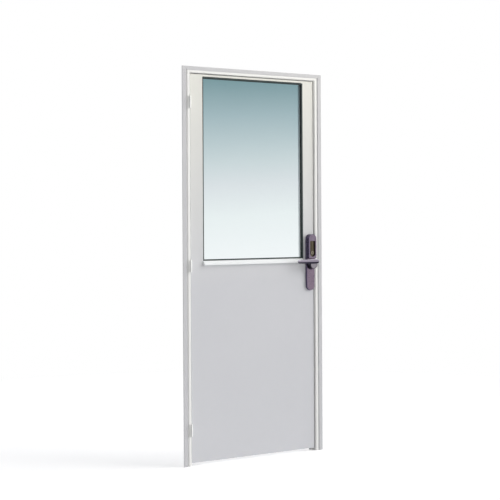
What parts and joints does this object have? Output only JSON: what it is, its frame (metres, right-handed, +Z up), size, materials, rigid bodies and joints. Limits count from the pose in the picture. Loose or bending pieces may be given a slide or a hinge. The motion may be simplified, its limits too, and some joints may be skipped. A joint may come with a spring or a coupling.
{
  "type": "half-glazed hinged door",
  "caption": "Half-glazed hinged door in a slim three-sided frame, with a flush lower panel, sill bar, long lock plate, levers and bolts.",
  "frame": {"origin": "on the floor, midway between the jambs and in the middle of the leaf's thickness", "axes": "+X from the hinge jamb to the lock jamb, +Y from the outside face to the room, +Z up"},
  "size_m": [0.9, 0.145, 2.1],
  "materials": {
    "frame_coat": "satin white coat on an extruded section",
    "leaf_coat": "satin white coat on sheet",
    "leaf_section": "mill finish tube",
    "bead_coat": "satin white coat",
    "hinge_coat": "satin white coat on steel",
    "core_board": "light filler board",
    "glass": "clear float",
    "gasket_rubber": "matt black",
    "seal_rubber": "matt grey",
    "lock_metal": "warm dark satin plating",
    "window_brass": "dull gold",
    "cylinder_brass": "satin",
    "steel": "zinc plated"
  },
  "bodies": {
    "frame": {"jamb_hinge_side": "frame_coat", "jamb_lock_side": "frame_coat", "head_rail": "frame_coat", "seal_hinge_side": "seal_rubber", "seal_lock_side": "seal_rubber", "seal_head": "seal_rubber", "strike_plate": "steel", "strike_screws": "steel", "hinge_frame_screws": "steel", "hinge_bottom_frame_plate": "hinge_coat", "hinge_middle_frame_plate": "hinge_coat", "hinge_top_frame_plate": "hinge_coat", "hinge_bottom_pin": "hinge_coat", "hinge_middle_pin": "hinge_coat", "hinge_top_pin": "hinge_coat"},
    "leaf": {"stile_hinge_side": "leaf_section", "stile_lock_side": "leaf_section", "top_rail": "leaf_section", "middle_rail": "leaf_section", "bottom_rail": "leaf_section", "panel_core": "core_board", "front_skin": "leaf_coat", "back_skin": "leaf_coat", "glass_pane": "glass", "front_gasket": "gasket_rubber", "back_gasket": "gasket_rubber", "bead_hinge_side": "bead_coat", "bead_lock_side": "bead_coat", "bead_bottom": "bead_coat", "bead_top": "bead_coat", "sill_bar": "bead_coat", "hinge_leaf_screws": "steel", "lock_case": "steel", "lock_case_cover": "steel", "lock_face_plate": "steel", "face_plate_screws": "steel", "outside_plate": "lock_metal", "outside_housing": "lock_metal", "window_insert": "window_brass", "lock_cylinder": "cylinder_brass", "inside_plate": "lock_metal", "inside_plate_screws": "steel", "hinge_bottom_leaf_plate": "hinge_coat", "hinge_middle_leaf_plate": "hinge_coat", "hinge_top_leaf_plate": "hinge_coat"},
    "lever_set": {"outside_lever": "lock_metal", "inside_lever": "lock_metal", "spindle": "steel", "follower": "steel"},
    "latch": {"latch_bolt": "steel"},
    "bolt": {"dead_bolt": "steel"},
    "bolt_drive": {"key_plug": "cylinder_brass", "thumbturn": "lock_metal"}
  },
  "joints": [
    {"name": "leaf_swing", "type": "hinge", "parent": "frame", "child": "leaf", "pos_m": [-0.407, -0.0325, 1.051], "axis": [0, 0, -1], "range_deg": [0, 105]},
    {"name": "lever_turn", "type": "hinge", "parent": "leaf", "child": "lever_set", "pos_m": [0.37, 0, 1.04], "axis": [0, -1, 0], "range_deg": [0, 45], "stiffness_Nm_per_rad": 2, "springref_deg": -28.65},
    {"name": "latch_slide", "type": "slide", "parent": "leaf", "child": "latch", "axis": [1, 0, 0], "range_m": [-0.011, 0]},
    {"name": "bolt_turn", "type": "hinge", "parent": "leaf", "child": "bolt_drive", "pos_m": [0.37, 0, 1.106], "axis": [0, 1, 0], "range_deg": [0, 90]},
    {"name": "bolt_slide", "type": "slide", "parent": "leaf", "child": "bolt", "axis": [1, 0, 0], "range_m": [0, 0.015]}
  ],
  "couplings": [
    {"joint": "latch_slide", "follows": "lever_turn", "m_per_rad": -0.014},
    {"joint": "bolt_slide", "follows": "bolt_turn", "m_per_rad": 0.0095}
  ]
}
